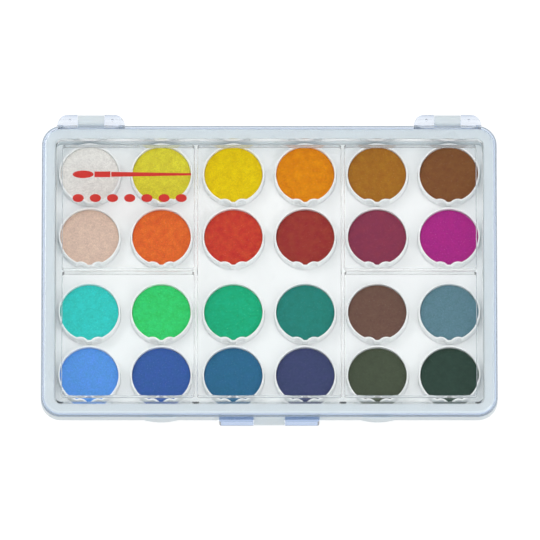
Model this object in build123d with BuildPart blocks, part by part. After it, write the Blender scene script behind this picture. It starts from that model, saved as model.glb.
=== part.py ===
from build123d import *
import math
import os

os.makedirs("parts", exist_ok=True)

# Gouache paint set box, in millimetres. The origin is in the middle of the base's underside, +Z is up,
# +X runs along the box and +Y points to the hinges at the rear. The lid is closed.

# Pans and paints
pan_diameter = 31.1
pan_height = 8.6
pan_wall = 0.9
pan_floor = 1.0
pan_foot_height = 1.0  # the floor stands on a foot ring
pan_foot_width = 2.0
pan_rim_round = 0.25
pan_proud = 5.0  # how far a pan stands out of the tray
pan_step = 0.1  # below the tray's surface a pan is this much wider, all round
flute_depth = 1.15  # two grip flutes in the front of each pan
flute_width = 5.4
flute_spread = 9.0  # between the middles of the two flutes
flute_round = 0.7
paint_recess = 1.9  # from the pan's rim down to the paint
paint_gap = 0.05  # dry paint shrinks a little from the pan's wall
paint_edge_round = 0.3

# Layout: six columns and four rows, with a wider lane behind the second row
column_gap = 4.9
row_gap = 1.9
lane_width = 8.4
end_margin = 1.6  # from the outer pans to the basin's wall, at the ends
side_margin = 1.05  # the same at the front and rear

# Tray
tray_thickness = 1.0
tray_wall = 1.0
tray_clearance = 0.15  # to the basin's wall
seat_wall = 1.0
seat_clearance = 0.15  # round a pan
ledge_thickness = 1.0  # a pan's foot stands on this ring
ledge_width = 3.0
nib_width = 3.0  # a nib on the ledge fits a notch in the pan's foot, so that the flutes face the front
nib_height = 0.8
nib_clearance = 0.15
dimple_radius = 3.2  # gate mark in the middle of the tray
dimple_depth = 0.35

# Base
floor_thickness = 1.4
base_wall = 1.2
base_foot_round = 2.0
basin_round = 3.3  # inner corners of the basin, in plan
basin_lead = 0.4  # bevel round the basin's mouth, which leads the lid's locating wall in
border = 7.25  # from the outside of the case to the outside of the lid's locating wall
case_round = 10.0  # corners of the case, in plan
skirt_height = 5.7
grip_width = 17.0  # finger grips on the front skirt
grip_proud = 1.2

# Lid
lid_thickness = 1.2
lid_edge_height = 3.0
shoulder_round = 2.5
shoulder_land = 0.4  # straight part of the lid's edge, below the shoulder
locating_clearance = 0.4  # between the lid's locating wall and the basin
locating_wall = 3.1
pan_headroom = 1.5  # from the pans' rims to the lid's walls
well_depth = 5.8  # height of the locating wall and the ribs
rib_thickness = 1.5
well_round = 1.2  # corners of the mixing wells, in plan
root_round = 0.3  # where the walls and ribs meet the plate
tip_round = 0.3

# Hinges: pegs on the lid's ears turn in a bore through each of the base's knuckles
hinge_inset = 24.6  # from the end of the case to the middle of a hinge
hinge_setback = 2.8  # from the rear of the case to the hinge axis
hinge_drop = 2.0  # from the lid's edge down to the hinge axis
knuckle_width = 13.2
knuckle_radius = 3.5
ear_width = 10.15
ear_radius = 3.8
ear_sweep = 7.5  # length of the ear's rounded outer corner, in plan
ear_gap = 0.15  # between ear and knuckle
peg_radius = 1.25
peg_length = 4.5
peg_clearance = 0.06
turning_clearance = 0.3  # round the ears and knuckles
pip_radius = 0.6  # gate mark on top of each ear
pip_depth = 1.2
pip_place = 10.65  # from the middle of the hinge

# Clasp: a two-winged tab on the lid closes over a tongue on the base
tab_width = 50.0
tab_proud = 2.8
tab_height = 6.8
tab_thickness = 1.2
tab_shelf = 0.8
tab_corner_round = 1.1
tongue_width = 15.2
tongue_clearance = 0.3
tongue_lead = 3.2  # height of the slope on top of the tongue
tongue_back = 0.1  # how far the tongue stays behind the face of the tab
detent_height = 0.2

# Sizes worked out from the ones above
column_pitch = pan_diameter + column_gap
row_pitch = pan_diameter + row_gap
basin_length = 6 * pan_diameter + 5 * column_gap + 2 * end_margin
basin_depth = 4 * pan_diameter + 2 * row_gap + lane_width + 2 * side_margin
case_length = basin_length + 2 * (border - locating_clearance)
case_depth = basin_depth + 2 * (border - locating_clearance)
ledge_top = floor_thickness + ledge_thickness
rim_height = ledge_top + pan_height
tray_surface = rim_height - pan_proud
paint_surface = rim_height - paint_recess
wall_tip = rim_height + pan_headroom
plate_underside = wall_tip + well_depth
case_height = plate_underside + lid_thickness
parting = case_height - lid_edge_height
skirt_bottom = parting - skirt_height
axis_y = case_depth / 2 + hinge_setback
axis_z = parting - hinge_drop
ear_reach = hinge_setback + ear_radius
pan_radius = pan_diameter / 2
foot_radius = pan_radius + pan_step
seat_radius = foot_radius + seat_clearance
lane_row = (pan_diameter + lane_width) / 2
row_places = [lane_row + row_pitch, lane_row, -lane_row, -lane_row - row_pitch]
column_places = [(column - 2.5) * column_pitch for column in range(6)]
pan_places = [(x, y) for y in row_places for x in column_places]
hinge_places = [hinge_inset - case_length / 2, case_length / 2 - hinge_inset]

# The paints, from the left and row by row, the rear row first
paint_names = [
    "white", "lemon_yellow", "yellow", "orange_yellow", "ochre", "brown",
    "flesh_tint", "orange", "vermilion", "carmine", "wine_red", "magenta",
    "turquoise", "light_green", "emerald_green", "pine_green", "umber", "grey",
    "sky_blue", "ultramarine", "prussian_blue", "violet", "olive_green", "black",
]


def pan_outline(inset):
    # Outline of a pan, drawn in the sketch that is open: a circle with two flutes in its front
    flute_radius = (flute_width**2 / 4 + flute_depth**2) / (2 * flute_depth)
    flute_centre = pan_radius - flute_depth + flute_radius
    flute_angle = math.asin(flute_spread / 2 / flute_centre)
    flute_x = flute_spread / 2
    flute_y = -flute_centre * math.cos(flute_angle)
    Circle(pan_radius - inset)
    with Locations((-flute_x, flute_y), (flute_x, flute_y)):
        Circle(flute_radius + inset, mode=Mode.SUBTRACT)
    fillet(vertices().filter_by_position(Axis.Y, -pan_radius, -pan_radius / 2), flute_round)


# Base: basin, flange, skirt, grips, knuckles, and the clasp's tongue
with BuildPart() as base:
    with BuildSketch():
        RectangleRounded(basin_length + 2 * base_wall, basin_depth + 2 * base_wall, basin_round + base_wall)
    extrude(amount=parting)
    fillet(base.faces().sort_by(Axis.Z)[0].edges(), base_foot_round)
    with BuildSketch(Plane.XY.offset(parting - base_wall)):
        RectangleRounded(case_length, case_depth, case_round)
    extrude(amount=base_wall)
    with BuildSketch(Plane.XY.offset(skirt_bottom)):
        RectangleRounded(case_length, case_depth, case_round)
        RectangleRounded(
            case_length - 2 * base_wall,
            case_depth - 2 * base_wall,
            case_round - base_wall,
            mode=Mode.SUBTRACT,
        )
    extrude(amount=skirt_height)
    grip_radius = (grip_width**2 / 4 + grip_proud**2) / (2 * grip_proud)
    grip_y = grip_radius - grip_proud - case_depth / 2
    grip_places = [(-1.5 * column_pitch, grip_y), (1.5 * column_pitch, grip_y)]
    with BuildSketch(Plane.XY.offset(skirt_bottom)):
        with Locations(*grip_places):
            Circle(grip_radius)
        with Locations((0, -case_depth / 2)):
            Rectangle(case_length, 2 * grip_proud, mode=Mode.INTERSECT)
    extrude(amount=skirt_height)
    with BuildSketch(Plane.XY.offset(floor_thickness)):
        RectangleRounded(basin_length, basin_depth, basin_round)
    extrude(amount=case_height, mode=Mode.SUBTRACT)
    chamfer(base.edges(Select.LAST).filter_by_position(Axis.Z, parting, parting), basin_lead)

    # Room for the lid's ears to turn, then the knuckles with the bores for the lid's pegs
    for hinge_x in hinge_places:
        with BuildSketch(Plane.YZ.offset(hinge_x)):
            with Locations((axis_y, axis_z)):
                Circle(ear_radius + turning_clearance)
        ear_room = knuckle_width / 2 + ear_gap + ear_width + turning_clearance
        extrude(amount=ear_room, both=True, mode=Mode.SUBTRACT)
        with BuildSketch(Plane.YZ.offset(hinge_x)):
            with Locations((axis_y, axis_z)):
                Circle(knuckle_radius)
            with BuildLine():
                Polyline(
                    (case_depth / 2 - ear_radius, parting),
                    (case_depth / 2 - ear_radius, parting - base_wall),
                    (case_depth / 2 - base_wall, skirt_bottom),
                    (axis_y, axis_z - knuckle_radius),
                    (axis_y, parting),
                    close=True,
                )
            make_face()
        extrude(amount=knuckle_width / 2, both=True)
        with BuildSketch(Plane.YZ.offset(hinge_x)):
            with Locations((axis_y, axis_z)):
                Circle(peg_radius + peg_clearance)
        extrude(amount=knuckle_width / 2, both=True, mode=Mode.SUBTRACT)

    # Tongue of the clasp, sloped on top so that the lid's tab slides over it
    tongue_face = -case_depth / 2 - tab_proud + tongue_back
    with BuildSketch(Plane.YZ):
        with BuildLine():
            Polyline(
                (-case_depth / 2, skirt_bottom),
                (-case_depth / 2, parting - tab_shelf / 2),
                (-case_depth / 2 - tongue_back, parting - tab_shelf / 2),
                (tongue_face, parting - tab_shelf / 2 - tongue_lead),
                (tongue_face, skirt_bottom),
                close=True,
            )
        make_face()
    extrude(amount=tongue_width / 2, both=True)
    detent_y = tongue_face + tab_thickness / 2
    with Locations((-tongue_width / 2, detent_y, skirt_bottom), (tongue_width / 2, detent_y, skirt_bottom)):
        Cylinder(detent_height, skirt_height / 2, align=(Align.CENTER, Align.CENTER, Align.MIN))
base.part.label = "base"
export_step(base.part, "parts/base.step")

# Tray: plate, outer wall and a seat for each pan, standing on the basin's floor
tray_length = basin_length - 2 * tray_clearance
tray_depth = basin_depth - 2 * tray_clearance
tray_round = basin_round - tray_clearance
ledge_radius = seat_radius - ledge_width
with BuildPart() as tray:
    with BuildSketch(Plane.XY.offset(floor_thickness)):
        RectangleRounded(tray_length, tray_depth, tray_round)
    extrude(amount=tray_surface - floor_thickness)
    with BuildSketch(Plane.XY.offset(floor_thickness)):
        RectangleRounded(tray_length - 2 * tray_wall, tray_depth - 2 * tray_wall, tray_round - tray_wall)
        with Locations(*pan_places):
            Circle(seat_radius + seat_wall, mode=Mode.SUBTRACT)
    extrude(amount=tray_surface - tray_thickness - floor_thickness, mode=Mode.SUBTRACT)
    with BuildSketch(Plane.XY.offset(ledge_top)):
        with Locations(*pan_places):
            Circle(seat_radius)
    extrude(amount=tray_surface, mode=Mode.SUBTRACT)
    with BuildSketch(Plane.XY.offset(floor_thickness)):
        with Locations(*pan_places):
            Circle(ledge_radius)
    extrude(amount=ledge_thickness, mode=Mode.SUBTRACT)
    with BuildSketch(Plane.XY.offset(ledge_top)):
        with Locations(*[(x, y + seat_radius - pan_foot_width / 2) for x, y in pan_places]):
            Rectangle(nib_width, pan_foot_width)
    extrude(amount=nib_height)
    dimple_ball = (dimple_radius**2 + dimple_depth**2) / (2 * dimple_depth)
    with Locations((0, 0, tray_surface - dimple_depth + dimple_ball)):
        Sphere(dimple_ball, mode=Mode.SUBTRACT)
tray.part.label = "tray"
export_step(tray.part, "parts/tray.step")

# Pans and the paint in them
for name, (x, y) in zip(paint_names, pan_places):
    with BuildPart() as pan:
        with BuildSketch(Plane(origin=(x, y, ledge_top))):
            Circle(foot_radius)
        extrude(amount=tray_surface - ledge_top)
        with BuildSketch(Plane(origin=(x, y, tray_surface))):
            pan_outline(0)
        extrude(amount=pan_proud)
        with BuildSketch(Plane(origin=(x, y, rim_height))):
            pan_outline(pan_wall)
        extrude(amount=pan_foot_height + pan_floor - pan_height, mode=Mode.SUBTRACT)
        fillet(pan.faces().sort_by(Axis.Z)[-1].edges(), pan_rim_round)
        with BuildSketch(Plane(origin=(x, y, ledge_top))):
            Circle(foot_radius - pan_foot_width)
        extrude(amount=pan_foot_height, mode=Mode.SUBTRACT)
        with BuildSketch(Plane(origin=(x, y, ledge_top))):
            with Locations((0, foot_radius - pan_foot_width / 2)):
                Rectangle(nib_width + 2 * nib_clearance, 2 * pan_foot_width)
        extrude(amount=nib_height + nib_clearance, mode=Mode.SUBTRACT)
    pan.part.label = f"pan_{name}"
    export_step(pan.part, f"parts/pan_{name}.step")

    with BuildPart() as paint:
        with BuildSketch(Plane(origin=(x, y, ledge_top + pan_foot_height + pan_floor))):
            pan_outline(pan_wall + paint_gap)
        extrude(amount=paint_surface - ledge_top - pan_foot_height - pan_floor)
        fillet(paint.faces().sort_by(Axis.Z)[-1].edges(), paint_edge_round)
    paint.part.label = f"paint_{name}"
    export_step(paint.part, f"parts/paint_{name}.step")

# Lid: plate, edge, locating wall, ribs, ears and tab
wall_length = basin_length - 2 * locating_clearance
wall_depth = basin_depth - 2 * locating_clearance
wall_round = basin_round - locating_clearance
middle_well = 2 * column_pitch
side_well_start = middle_well / 2 + rib_thickness
side_well_length = wall_length / 2 - locating_wall - side_well_start
side_well_depth = (wall_depth - rib_thickness) / 2 - locating_wall
side_well_x = side_well_start + side_well_length / 2
side_well_y = (rib_thickness + side_well_depth) / 2
tab_top = parting + tab_shelf
with BuildPart() as lid:
    with BuildSketch(Plane.XY.offset(parting)):
        RectangleRounded(case_length, case_depth, case_round)
    extrude(amount=lid_edge_height)
    fillet(lid.faces().sort_by(Axis.Z)[-1].edges(), min(shoulder_round, lid_edge_height - shoulder_land))
    with BuildSketch(Plane.XY.offset(parting)):
        RectangleRounded(
            case_length - 2 * lid_thickness, case_depth - 2 * lid_thickness, case_round - lid_thickness
        )
    extrude(amount=lid_edge_height - lid_thickness, mode=Mode.SUBTRACT)
    fillet(
        lid.edges(Select.LAST).filter_by_position(Axis.Z, plate_underside, plate_underside),
        min(shoulder_round - lid_thickness, lid_edge_height - lid_thickness - shoulder_land),
    )
    with BuildSketch(Plane.XY.offset(wall_tip)):
        RectangleRounded(wall_length, wall_depth, wall_round)
    extrude(amount=well_depth)
    with BuildSketch(Plane.XY.offset(wall_tip)):
        RectangleRounded(middle_well, wall_depth - 2 * locating_wall, well_round)
        with Locations(*[(i * side_well_x, j * side_well_y) for i in (-1, 1) for j in (-1, 1)]):
            RectangleRounded(side_well_length, side_well_depth, well_round)
    extrude(amount=well_depth, mode=Mode.SUBTRACT)
    fillet(lid.edges(Select.LAST).filter_by_position(Axis.Z, plate_underside, plate_underside), root_round)
    fillet(lid.faces().sort_by(Axis.Z)[0].edges(), tip_round)

    # Hinge ears, each with a swept corner, a gate mark and a peg for the base's knuckle
    for hinge_x in hinge_places:
        with BuildSketch(Plane.YZ.offset(hinge_x)):
            with Locations((axis_y, axis_z)):
                Circle(knuckle_radius + turning_clearance)
        extrude(amount=knuckle_width / 2 + ear_gap, both=True, mode=Mode.SUBTRACT)
        for side in (-1, 1):
            inner_x = hinge_x + side * (knuckle_width / 2 + ear_gap)
            outer_x = inner_x + side * ear_width
            with BuildSketch(Plane.YZ.offset(inner_x)):
                with Locations((axis_y, axis_z)):
                    Circle(ear_radius)
                with BuildLine():
                    Polyline(
                        (case_depth / 2 - lid_thickness, parting),
                        (case_depth / 2 - lid_thickness, parting + lid_edge_height / 2),
                        (case_depth / 2 - lid_thickness / 2, parting + lid_edge_height * 0.75),
                        (axis_y, axis_z + ear_radius),
                        (axis_y, parting),
                        close=True,
                    )
                make_face()
            extrude(amount=side * ear_width)
            with BuildSketch():
                with Locations((outer_x, case_depth / 2 + ear_reach)):
                    Rectangle(2 * ear_sweep, 2 * ear_reach)
                with Locations((outer_x - side * ear_sweep, case_depth / 2)):
                    Ellipse(ear_sweep, ear_reach, mode=Mode.SUBTRACT)
            extrude(amount=case_height, mode=Mode.SUBTRACT)
            with Locations((hinge_x + side * pip_place, axis_y, axis_z + ear_radius)):
                Cylinder(pip_radius, 2 * pip_depth, mode=Mode.SUBTRACT)
            with BuildSketch(Plane.YZ.offset(inner_x)):
                with Locations((axis_y, axis_z)):
                    Circle(peg_radius)
            extrude(amount=-side * peg_length)

    # Tab of the clasp, open in the middle for the base's tongue
    with BuildSketch(Plane.YZ):
        with BuildLine():
            Polyline(
                (-case_depth / 2 + lid_thickness, parting),
                (-case_depth / 2 + lid_thickness, tab_top),
                (-case_depth / 2 - tab_proud, tab_top),
                (-case_depth / 2 - tab_proud, tab_top - tab_height),
                (-case_depth / 2 - tab_proud + tab_thickness, tab_top - tab_height),
                (-case_depth / 2 - tab_proud + tab_thickness, parting),
                close=True,
            )
        make_face()
    extrude(amount=tab_width / 2, both=True)
    fillet(
        lid.edges(Select.LAST).filter_by(Axis.Z).group_by(Axis.Y)[0],
        min(tab_corner_round, tab_thickness - 0.1),
    )
    with BuildSketch(Plane.XY.offset(skirt_bottom - tab_height)):
        with Locations((0, -case_depth / 2 - tab_proud)):
            Rectangle(tongue_width + 2 * tongue_clearance, 2 * tab_proud)
    extrude(amount=2 * case_height, mode=Mode.SUBTRACT)
lid.part.label = "lid"
export_step(lid.part, "parts/lid.step")
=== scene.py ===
import math

import bpy
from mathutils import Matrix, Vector


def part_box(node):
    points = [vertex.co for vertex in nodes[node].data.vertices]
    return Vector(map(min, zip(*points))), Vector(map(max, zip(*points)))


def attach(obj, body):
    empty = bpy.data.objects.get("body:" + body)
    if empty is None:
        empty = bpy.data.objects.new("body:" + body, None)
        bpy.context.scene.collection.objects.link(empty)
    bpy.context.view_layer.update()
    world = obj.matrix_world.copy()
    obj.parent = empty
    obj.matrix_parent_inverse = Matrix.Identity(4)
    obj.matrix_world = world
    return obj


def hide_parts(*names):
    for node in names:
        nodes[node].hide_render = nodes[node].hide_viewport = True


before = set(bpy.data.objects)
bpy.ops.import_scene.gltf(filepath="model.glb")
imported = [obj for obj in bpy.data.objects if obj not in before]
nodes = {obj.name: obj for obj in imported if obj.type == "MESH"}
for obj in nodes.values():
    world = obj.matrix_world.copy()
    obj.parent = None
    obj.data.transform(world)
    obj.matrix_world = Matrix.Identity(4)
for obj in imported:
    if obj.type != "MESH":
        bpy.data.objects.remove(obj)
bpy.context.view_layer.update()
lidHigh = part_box("lid")[1]
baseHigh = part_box("base")[1]
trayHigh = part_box("tray")[1]
print("frame loaded:", len(nodes), "nodes")


def toLinear(hexColour):
    # sRGB hex to the linear colour that the shaders take
    parts = [int(hexColour[i : i + 2], 16) / 255 for i in (1, 3, 5)]
    return tuple([p / 12.92 if p <= 0.04045 else ((p + 0.055) / 1.055) ** 2.4 for p in parts] + [1.0])


def addNode(tree, kind, inputs=None, **settings):
    # adds a node; an input is given a value or the socket that it is linked to
    node = tree.nodes.new(kind)
    for name, value in settings.items():
        setattr(node, name, value)
    for name, value in (inputs or {}).items():
        if isinstance(value, bpy.types.NodeSocket):
            tree.links.new(value, node.inputs[name])
        else:
            node.inputs[name].default_value = value
    return node


def newMaterial(name):
    material = bpy.data.materials.new(name)
    material.use_nodes = True
    material.node_tree.nodes.clear()
    return material, material.node_tree


def pickOnly(piece):
    bpy.ops.object.select_all(action="DESELECT")
    piece.select_set(True)
    bpy.context.view_layer.objects.active = piece


def applyModifiers(piece):
    pickOnly(piece)
    for modifier in list(piece.modifiers):
        bpy.ops.object.modifier_apply(modifier=modifier.name)


sharpAngle = 35  # degrees; a sharper bend between two faces stays an edge
mergeGap = 0.000002  # metres


def shellFromNode(nodeName, pieceName):
    # a merged copy of a CAD solid, with round stretches smooth and flat ones flat
    piece = bpy.data.objects.new(pieceName, nodes[nodeName].data.copy())
    bpy.context.collection.objects.link(piece)
    piece.data.materials.clear()
    pickOnly(piece)
    bpy.ops.object.mode_set(mode="EDIT")
    bpy.ops.mesh.select_all(action="SELECT")
    bpy.ops.mesh.customdata_custom_splitnormals_clear()
    bpy.ops.mesh.remove_doubles(threshold=mergeGap)
    bpy.ops.object.mode_set(mode="OBJECT")
    bpy.ops.object.shade_smooth_by_angle(angle=math.radians(sharpAngle))
    weighted = piece.modifiers.new("flatsStayFlat", "WEIGHTED_NORMAL")
    weighted.keep_sharp = True
    weighted.weight = 100
    applyModifiers(piece)
    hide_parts(nodeName)
    return piece


# Clear polystyrene: see-through and polished, with finely matt mixing wells. Painted shade: its steep faces,
# the ears and the tab get a blue colour that stands in for how thick clear plastic looks darker and bluer
# seen edge-on
lidPlastic = {
    "colour": "#FEFFFF",
    # painted shade: the blue given to steep faces of the clear plastic, standing in for how thick plastic
    # looks seen edge-on
    "paintedEdgeShade": "#A9BFE2",
    "shadowTint": "#FEFEFF",
    "ior": 1.59,
    "rippleScale": 55.0,
    "rippleDepth": 0.0003,
    "rippleStrength": 0.05,
    "roughness": 0.015,
    "wellRoughness": 0.05,
    "wellVeil": 0.004,
    "outlineY": 0.0763,  # the ears and the tab stand out beyond this and get the painted blue shade all over
    # shares of the painted blue shade that the ears and the tab get all over
    "earPaintedShade": 0.3,
    "tabPaintedShade": 0.9,
    "edgeOn": (0.97, 0.2),  # steepness, as a normal's z, where the painted edge shade starts and is full
    "underside": (-0.9, -0.99),
}


def makeLidPlastic():
    material, tree = newMaterial("polystyreneClearPolished")
    place = addNode(tree, "ShaderNodeTexCoord")
    ripple = addNode(
        tree,
        "ShaderNodeTexNoise",
        {"Vector": place.outputs["Object"], "Scale": lidPlastic["rippleScale"], "Detail": 2.0},
    )
    bump = addNode(
        tree,
        "ShaderNodeBump",
        {
            "Height": ripple.outputs["Fac"],
            "Strength": lidPlastic["rippleStrength"],
            "Distance": lidPlastic["rippleDepth"],
        },
    )
    facing = addNode(tree, "ShaderNodeSeparateXYZ", {"Vector": place.outputs["Normal"]})
    spot = addNode(tree, "ShaderNodeSeparateXYZ", {"Vector": place.outputs["Object"]})

    # painted shade: edge-on faces get the blue edge colour where they stand outside the tray's reach, and
    # the ears and the tab get it all over; it stands in for how thick clear plastic looks seen edge-on
    level = addNode(tree, "ShaderNodeMath", {0: facing.outputs["Z"]}, operation="ABSOLUTE")
    edge = addNode(
        tree,
        "ShaderNodeMapRange",
        {
            "Value": level.outputs[0],
            "From Min": lidPlastic["edgeOn"][0],
            "From Max": lidPlastic["edgeOn"][1],
        },
    )
    outside = None
    for axis, reach in (("X", trayHigh[0]), ("Y", trayHigh[1])):
        far = addNode(tree, "ShaderNodeMath", {0: spot.outputs[axis]}, operation="ABSOLUTE")
        far = addNode(tree, "ShaderNodeMath", {0: far.outputs[0], 1: reach}, operation="GREATER_THAN")
        if outside:
            far = addNode(
                tree, "ShaderNodeMath", {0: far.outputs[0], 1: outside.outputs[0]}, operation="MAXIMUM"
            )
        outside = far
    edge = addNode(
        tree, "ShaderNodeMath", {0: edge.outputs[0], 1: outside.outputs[0]}, operation="MULTIPLY"
    )
    for test, limit, shadeShare in (
        ("GREATER_THAN", lidPlastic["outlineY"], lidPlastic["earPaintedShade"]),
        ("LESS_THAN", -lidPlastic["outlineY"], lidPlastic["tabPaintedShade"]),
    ):
        lug = addNode(tree, "ShaderNodeMath", {0: spot.outputs["Y"], 1: limit}, operation=test)
        edge = addNode(
            tree,
            "ShaderNodeMath",
            {0: lug.outputs[0], 1: shadeShare, 2: edge.outputs[0]},
            operation="MULTIPLY_ADD",
            use_clamp=True,
        )
    # the plastic's colour, with the painted edge shade mixed in
    colour = addNode(
        tree,
        "ShaderNodeMix",
        {
            "Factor": edge.outputs[0],
            6: toLinear(lidPlastic["colour"]),
            7: toLinear(lidPlastic["paintedEdgeShade"]),
        },
        data_type="RGBA",
    )

    # the plate's underside, above the base, is the bottom of the wells
    underside = addNode(
        tree,
        "ShaderNodeMapRange",
        {
            "Value": facing.outputs["Z"],
            "From Min": lidPlastic["underside"][0],
            "From Max": lidPlastic["underside"][1],
        },
    )
    inWell = addNode(
        tree, "ShaderNodeMath", {0: spot.outputs["Z"], 1: baseHigh[2]}, operation="GREATER_THAN"
    )
    matt = addNode(
        tree, "ShaderNodeMath", {0: underside.outputs[0], 1: inWell.outputs[0]}, operation="MULTIPLY"
    )
    roughness = addNode(
        tree,
        "ShaderNodeMapRange",
        {
            "Value": matt.outputs[0],
            "To Min": lidPlastic["roughness"],
            "To Max": lidPlastic["wellRoughness"],
        },
    )
    clear = addNode(
        tree,
        "ShaderNodeMapRange",
        {"Value": matt.outputs[0], "To Min": 1.0, "To Max": 1 - lidPlastic["wellVeil"]},
    )
    plastic = addNode(
        tree,
        "ShaderNodeBsdfPrincipled",
        {
            "Base Color": colour.outputs[2],
            "Roughness": roughness.outputs[0],
            "IOR": lidPlastic["ior"],
            "Transmission Weight": clear.outputs[0],
            "Normal": bump.outputs["Normal"],
        },
    )

    # straight light from the lamps and the sky passes, so that the lid casts no solid shadow
    through = addNode(tree, "ShaderNodeBsdfTransparent", {"Color": toLinear(lidPlastic["shadowTint"])})
    ray = addNode(tree, "ShaderNodeLightPath")
    mix = addNode(
        tree,
        "ShaderNodeMixShader",
        {0: ray.outputs["Is Shadow Ray"], 1: plastic.outputs[0], 2: through.outputs[0]},
    )
    addNode(tree, "ShaderNodeOutputMaterial", {"Surface": mix.outputs[0]})
    return material


# Natural polystyrene: unpigmented and milky, light wanders inside it and the edges look cool
basePlastic = {
    "colour": "#D0D8DC",
    "shadowTint": "#FAFCFD",
    "ior": 1.55,
    "roughness": (0.23, 0.36),  # smoothest and dullest places
    "flowScale": 30.0,
    "haze": 0.35,
    "hazeDepth": 0.003,
    "hazeSpread": (0.9, 1.0, 1.1),
}


def makeBasePlastic():
    material, tree = newMaterial("polystyreneNaturalMilky")
    place = addNode(tree, "ShaderNodeTexCoord")
    flow = addNode(
        tree,
        "ShaderNodeTexNoise",
        {"Vector": place.outputs["Object"], "Scale": basePlastic["flowScale"], "Detail": 3.0},
    )
    smoothest, dullest = basePlastic["roughness"]
    tone = addNode(
        tree,
        "ShaderNodeMapRange",
        {"Value": flow.outputs["Fac"], "To Min": smoothest, "To Max": dullest},
    )
    plastic = addNode(
        tree,
        "ShaderNodeBsdfPrincipled",
        {
            "Base Color": toLinear(basePlastic["colour"]),
            "Roughness": tone.outputs[0],
            "IOR": basePlastic["ior"],
            "Subsurface Weight": basePlastic["haze"],
            "Subsurface Radius": basePlastic["hazeSpread"],
            "Subsurface Scale": basePlastic["hazeDepth"],
        },
    )
    through = addNode(tree, "ShaderNodeBsdfTransparent", {"Color": toLinear(basePlastic["shadowTint"])})
    ray = addNode(tree, "ShaderNodeLightPath")
    mix = addNode(
        tree,
        "ShaderNodeMixShader",
        {0: ray.outputs["Is Shadow Ray"], 1: plastic.outputs[0], 2: through.outputs[0]},
    )
    addNode(tree, "ShaderNodeOutputMaterial", {"Surface": mix.outputs[0]})
    return material


# White polystyrene: opaque, the mould's fine satin on the tray and a smoother face on the pans
whitePlastics = {
    "tray": {"name": "polystyreneWhiteSatin", "colour": "#FBFDFD", "roughness": 0.42, "grainMm": 0.6},
    "pan": {"name": "polystyreneWhiteSmooth", "colour": "#FAFCFC", "roughness": 0.3, "grainMm": 1.2},
}
whiteGrain = {"strength": 0.08, "depth": 0.00005}


def makeWhitePlastic(kind):
    finish = whitePlastics[kind]
    material, tree = newMaterial(finish["name"])
    place = addNode(tree, "ShaderNodeTexCoord")
    grain = addNode(
        tree,
        "ShaderNodeTexNoise",
        {"Vector": place.outputs["Object"], "Scale": 1000 / finish["grainMm"], "Detail": 2.0},
    )
    bump = addNode(
        tree,
        "ShaderNodeBump",
        {
            "Height": grain.outputs["Fac"],
            "Strength": whiteGrain["strength"],
            "Distance": whiteGrain["depth"],
        },
    )
    plastic = addNode(
        tree,
        "ShaderNodeBsdfPrincipled",
        {
            "Base Color": toLinear(finish["colour"]),
            "Roughness": finish["roughness"],
            "Normal": bump.outputs["Normal"],
        },
    )
    addNode(tree, "ShaderNodeOutputMaterial", {"Surface": plastic.outputs[0]})
    return material


# Dry gouache: pressed pigment and gum, quite matt, mottled and pitted by its grain
paints = {
    "white": "#EBE9E4",
    "lemon_yellow": "#DDD33A",
    "yellow": "#E4C605",
    "orange_yellow": "#DF880A",
    "ochre": "#A66D22",
    "brown": "#80512E",
    "flesh_tint": "#DABEAD",
    "orange": "#E2692E",
    "vermilion": "#C8402F",
    "carmine": "#9C3731",
    "wine_red": "#8A3750",
    "magenta": "#AB2885",
    "turquoise": "#38CBC3",
    "light_green": "#38CF70",
    "emerald_green": "#1CAE7D",
    "pine_green": "#278479",
    "umber": "#705348",
    "grey": "#5F8491",
    "sky_blue": "#5B99E6",
    "ultramarine": "#3B60A7",
    "prussian_blue": "#2F6B91",
    "violet": "#414971",
    "olive_green": "#4B5443",
    "black": "#32473E",
}
paintSurface = {
    "mottleMm": 3.2,
    "mottleSwing": 0.07,
    "hueSwing": 0.005,
    "grainMm": 0.9,  # real grain is finer; drawn as coarse as it needs to show
    "grainSwing": 0.12,
    "grainDepth": 0.0001,
    "grainStrength": 0.35,
    "roughness": 0.9,
    "specular": 0.1,
}
noiseLow, noiseHigh = 0.3, 0.7  # most of a noise pattern lies between these


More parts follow.
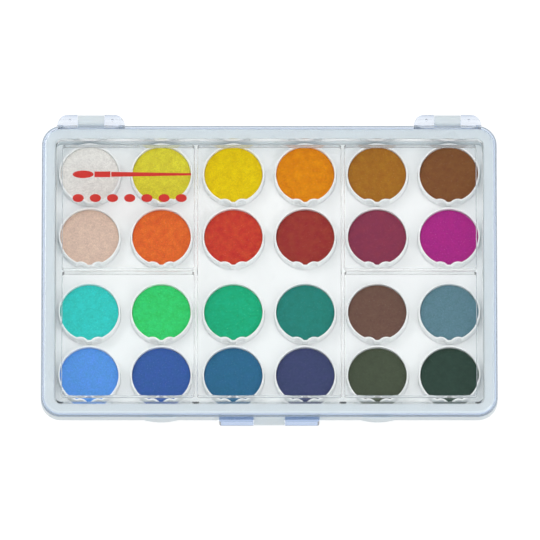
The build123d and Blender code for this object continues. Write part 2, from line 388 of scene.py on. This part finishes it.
def makeGouache(paintName):
    material, tree = newMaterial("gouacheDry_" + paintName)
    place = addNode(tree, "ShaderNodeTexCoord")
    mottle = addNode(
        tree,
        "ShaderNodeTexNoise",
        {"Vector": place.outputs["Object"], "Scale": 1000 / paintSurface["mottleMm"], "Detail": 4.0},
    )
    grain = addNode(
        tree,
        "ShaderNodeTexNoise",
        {"Vector": place.outputs["Object"], "Scale": 1000 / paintSurface["grainMm"], "Detail": 3.0},
    )
    value = None
    for pattern, swing in ((mottle, paintSurface["mottleSwing"]), (grain, paintSurface["grainSwing"])):
        shade = addNode(
            tree,
            "ShaderNodeMapRange",
            {
                "Value": pattern.outputs["Fac"],
                "From Min": noiseLow,
                "From Max": noiseHigh,
                "To Min": 1 - swing,
                "To Max": 1 + swing,
            },
        )
        if value:
            shade = addNode(
                tree, "ShaderNodeMath", {0: shade.outputs[0], 1: value.outputs[0]}, operation="MULTIPLY"
            )
        value = shade
    hue = addNode(
        tree,
        "ShaderNodeMapRange",
        {
            "Value": mottle.outputs["Fac"],
            "From Min": noiseLow,
            "From Max": noiseHigh,
            "To Min": 0.5 - paintSurface["hueSwing"],
            "To Max": 0.5 + paintSurface["hueSwing"],
        },
    )
    colour = addNode(
        tree,
        "ShaderNodeHueSaturation",
        {"Color": toLinear(paints[paintName]), "Hue": hue.outputs[0], "Value": value.outputs[0]},
    )
    bump = addNode(
        tree,
        "ShaderNodeBump",
        {
            "Height": grain.outputs["Fac"],
            "Strength": paintSurface["grainStrength"],
            "Distance": paintSurface["grainDepth"],
        },
    )
    paint = addNode(
        tree,
        "ShaderNodeBsdfPrincipled",
        {
            "Base Color": colour.outputs[0],
            "Roughness": paintSurface["roughness"],
            "Specular IOR Level": paintSurface["specular"],
            "Normal": bump.outputs["Normal"],
        },
    )
    addNode(tree, "ShaderNodeOutputMaterial", {"Surface": paint.outputs[0]})
    return material


# The case
lidShell = shellFromNode("lid", "lidShell")
lidShell.data.materials.append(makeLidPlastic())
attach(lidShell, "lid")
baseShell = shellFromNode("base", "baseShell")
baseShell.data.materials.append(makeBasePlastic())
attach(baseShell, "case")
trayShell = shellFromNode("tray", "trayShell")
trayShell.data.materials.append(makeWhitePlastic("tray"))
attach(trayShell, "case")
print("case done")

# Pans and paint
panPlastic = makeWhitePlastic("pan")
for paintName in paints:
    pan = shellFromNode("pan_" + paintName, "panCup_" + paintName)
    pan.data.materials.append(panPlastic)
    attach(pan, "case")
    cake = shellFromNode("paint_" + paintName, "paintCake_" + paintName)
    cake.data.materials.append(makeGouache(paintName))
    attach(cake, "case")
print("pans and paint done")

# Screen-printing ink, red and opaque: a brush and a row of dabs in the lid's left rear corner, with the film
# just under the lid's polish
inkMark = {
    "colour": "#D2281B",
    "roughness": 0.5,
    "corners": 40,  # of each round shape
    "start": (-0.0985, 0.0500),  # tip of the brush's hair
    "hair": (0.0105, 0.0040),
    "ferrule": (0.0080, 0.0030),
    "handle": (0.0400, 0.0026),
    "handleEnd": 0.45,  # width of the handle's end, as a share
    "gap": 0.0004,
    "dabs": 7,
    "dab": (0.0056, 0.0042),
    "dabPitch": 0.0086,
    "dabsBelow": 0.0125,
    "film": 0.00002,
    "depth": 0.00004,  # below the lid's top
}


def addInkShape(kind, middle, size):
    # one flat shape of the print, drawn at its size and place
    if kind == "round":
        bpy.ops.mesh.primitive_circle_add(vertices=inkMark["corners"], radius=0.5, fill_type="NGON")
    else:
        bpy.ops.mesh.primitive_plane_add(size=1)
    shape = bpy.context.active_object
    bpy.ops.object.mode_set(mode="EDIT")
    bpy.ops.mesh.select_all(action="SELECT")
    bpy.ops.transform.resize(value=(size[0], size[1], 1), center_override=(0, 0, 0))
    bpy.ops.transform.translate(value=(middle[0], middle[1], lidHigh[2] - inkMark["depth"]))
    bpy.ops.object.mode_set(mode="OBJECT")
    return shape


def taperEnd(shape, limit, share):
    # narrows the end of a shape that lies beyond a limit in x
    middle = sum((vertex.co for vertex in shape.data.vertices), Vector()) / len(shape.data.vertices)
    pickOnly(shape)
    bpy.ops.object.mode_set(mode="EDIT")
    bpy.ops.mesh.select_all(action="DESELECT")
    bpy.ops.object.mode_set(mode="OBJECT")
    for vertex in shape.data.vertices:
        vertex.select = vertex.co.x > limit
    bpy.ops.object.mode_set(mode="EDIT")
    bpy.ops.transform.resize(value=(1, share, 1), center_override=middle)
    bpy.ops.object.mode_set(mode="OBJECT")


startX, startY = inkMark["start"]
hair, ferrule, handle = inkMark["hair"], inkMark["ferrule"], inkMark["handle"]
shapes = [addInkShape("round", (startX + hair[0] / 2, startY), hair)]
ferruleStart = startX + hair[0] + inkMark["gap"]
shapes.append(addInkShape("square", (ferruleStart + ferrule[0] / 2, startY), ferrule))
handleStart = ferruleStart + ferrule[0] + inkMark["gap"]
shapes.append(addInkShape("square", (handleStart + handle[0] / 2, startY), handle))
taperEnd(shapes[-1], handleStart + handle[0] / 2, inkMark["handleEnd"])
for dab in range(inkMark["dabs"]):
    spot = (startX + inkMark["dab"][0] / 2 + dab * inkMark["dabPitch"], startY - inkMark["dabsBelow"])
    shapes.append(addInkShape("round", spot, inkMark["dab"]))
bpy.ops.object.select_all(action="DESELECT")
for shape in shapes:
    shape.select_set(True)
printedMark = shapes[0]
bpy.context.view_layer.objects.active = printedMark
bpy.ops.object.join()
printedMark.name = "printedBrushMark"
film = printedMark.modifiers.new("inkFilm", "SOLIDIFY")
film.thickness = inkMark["film"]
applyModifiers(printedMark)
ink, tree = newMaterial("screenInkRed")
inkShader = addNode(
    tree,
    "ShaderNodeBsdfPrincipled",
    {"Base Color": toLinear(inkMark["colour"]), "Roughness": inkMark["roughness"]},
)
addNode(tree, "ShaderNodeOutputMaterial", {"Surface": inkShader.outputs[0]})
printedMark.data.materials.append(ink)
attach(printedMark, "lid")
print("print on the lid done")

# Floor, light and camera
shot = {
    "elevation": 72.4,
    "distance": 8.0,
    "frameWidth": 0.270,
    "aim": (0.00035, -0.0003, lidHigh[2]),
    "farthest": 30,
}
backdrop = {
    "size": 6,
    "bounce": 0.8,  # what it gives back to the part
    "paper": 0.35,  # what is seen of it, with the glow
    "glow": 0.76,
}
elevation = math.radians(shot["elevation"])
bpy.ops.mesh.primitive_plane_add(size=backdrop["size"])
floor = bpy.context.active_object
floor.name = "floorPlane"
material, tree = newMaterial("paperBackdrop")
ray = addNode(tree, "ShaderNodeLightPath")
seen = addNode(
    tree,
    "ShaderNodeMath",
    {0: ray.outputs["Is Camera Ray"], 1: ray.outputs["Is Glossy Ray"]},
    operation="MAXIMUM",
)
seen = addNode(
    tree, "ShaderNodeMath", {0: seen.outputs[0], 1: ray.outputs["Is Transmission Ray"]}, operation="MAXIMUM"
)
tone = addNode(
    tree,
    "ShaderNodeMapRange",
    {"Value": seen.outputs[0], "To Min": backdrop["bounce"], "To Max": backdrop["paper"]},
)
paper = addNode(tree, "ShaderNodeBsdfDiffuse", {"Color": tone.outputs[0]})
lift = addNode(tree, "ShaderNodeMath", {0: seen.outputs[0], 1: backdrop["glow"]}, operation="MULTIPLY")
glow = addNode(tree, "ShaderNodeEmission", {"Strength": lift.outputs[0]})
both = addNode(tree, "ShaderNodeAddShader", {0: paper.outputs[0], 1: glow.outputs[0]})
addNode(tree, "ShaderNodeOutputMaterial", {"Surface": both.outputs[0]})
floor.data.materials.append(material)

# Soft white light from all round. A dark flag hangs where the lid would mirror the sky into the camera
sky = {
    "colour": "#FCFEFF",
    "horizon": 0.5,
    "zenith": 1.25,
    "flag": 0.06,
    "flagSize": 18,  # degrees, from its middle to its outer edge
    "flagEdge": 9,
    "underLid": 1.3,
}
world = bpy.data.worlds.new("studioWorld")
world.use_nodes = True
bpy.context.scene.world = world
tree = world.node_tree
tree.nodes.clear()
place = addNode(tree, "ShaderNodeTexCoord")
height = addNode(tree, "ShaderNodeSeparateXYZ", {"Vector": place.outputs["Generated"]})
glow = addNode(
    tree,
    "ShaderNodeMapRange",
    {"Value": height.outputs["Z"], "To Min": sky["horizon"], "To Max": sky["zenith"]},
)
mirrored = (0, math.cos(elevation), math.sin(elevation))
nearFlag = addNode(
    tree, "ShaderNodeVectorMath", {0: place.outputs["Generated"], 1: mirrored}, operation="DOT_PRODUCT"
)
flag = addNode(
    tree,
    "ShaderNodeMapRange",
    {
        "Value": nearFlag.outputs["Value"],
        "From Min": math.cos(math.radians(sky["flagSize"])),
        "From Max": math.cos(math.radians(sky["flagSize"] - sky["flagEdge"])),
        "To Min": 1.0,
        "To Max": sky["flag"],
    },
    interpolation_type="SMOOTHSTEP",
)
strength = addNode(tree, "ShaderNodeMath", {0: glow.outputs[0], 1: flag.outputs[0]}, operation="MULTIPLY")
light = addNode(
    tree, "ShaderNodeBackground", {"Color": toLinear(sky["colour"]), "Strength": strength.outputs[0]}
)
ray = addNode(tree, "ShaderNodeLightPath")
# Seen through the lid the sky is white as well. Matt surfaces under the lid get it at their own strength, on
# top of the straight light that the lid lets through
beyond = addNode(
    tree, "ShaderNodeMath", {0: flag.outputs[0], 1: ray.outputs["Is Camera Ray"]}, operation="MAXIMUM"
)
share = addNode(
    tree,
    "ShaderNodeMapRange",
    {"Value": ray.outputs["Diffuse Depth"], "To Min": 1.0, "To Max": sky["underLid"]},
)
beyond = addNode(tree, "ShaderNodeMath", {0: beyond.outputs[0], 1: share.outputs[0]}, operation="MULTIPLY")
white = addNode(tree, "ShaderNodeBackground", {"Color": (1, 1, 1, 1), "Strength": beyond.outputs[0]})
seen = addNode(
    tree,
    "ShaderNodeMath",
    {0: ray.outputs["Is Camera Ray"], 1: ray.outputs["Is Transmission Ray"]},
    operation="MAXIMUM",
)
mix = addNode(tree, "ShaderNodeMixShader", {0: seen.outputs[0], 1: light.outputs[0], 2: white.outputs[0]})
addNode(tree, "ShaderNodeOutputWorld", {"Surface": mix.outputs[0]})

# Two soft lamps, both clear of the direction that the lid mirrors
lamps = {
    "keyLamp": {"place": (-0.75, 0.65, 1.1), "size": 0.6, "watts": 2.8},
    "fillLamp": {"place": (0.8, -0.45, 1.1), "size": 0.6, "watts": 2.3},
}
for lampName, lamp in lamps.items():
    bpy.ops.object.light_add(type="AREA", location=lamp["place"])
    light = bpy.context.active_object
    light.name = lampName
    light.data.size = lamp["size"]
    light.data.energy = lamp["watts"]
    light.rotation_euler = Vector(lamp["place"]).to_track_quat("Z", "Y").to_euler()

bpy.ops.object.camera_add()
camera = bpy.context.active_object
camera.name = "shotCamera"
camera.data.lens = camera.data.sensor_width * shot["distance"] / shot["frameWidth"]
toCamera = Vector((0, -math.cos(elevation), math.sin(elevation)))
camera.location = Vector(shot["aim"]) + toCamera * shot["distance"]
camera.rotation_euler = (math.pi / 2 - elevation, 0, 0)
camera.data.clip_end = shot["farthest"]
bpy.context.scene.camera = camera
bpy.context.scene.view_settings.view_transform = "Standard"
print("stage done")
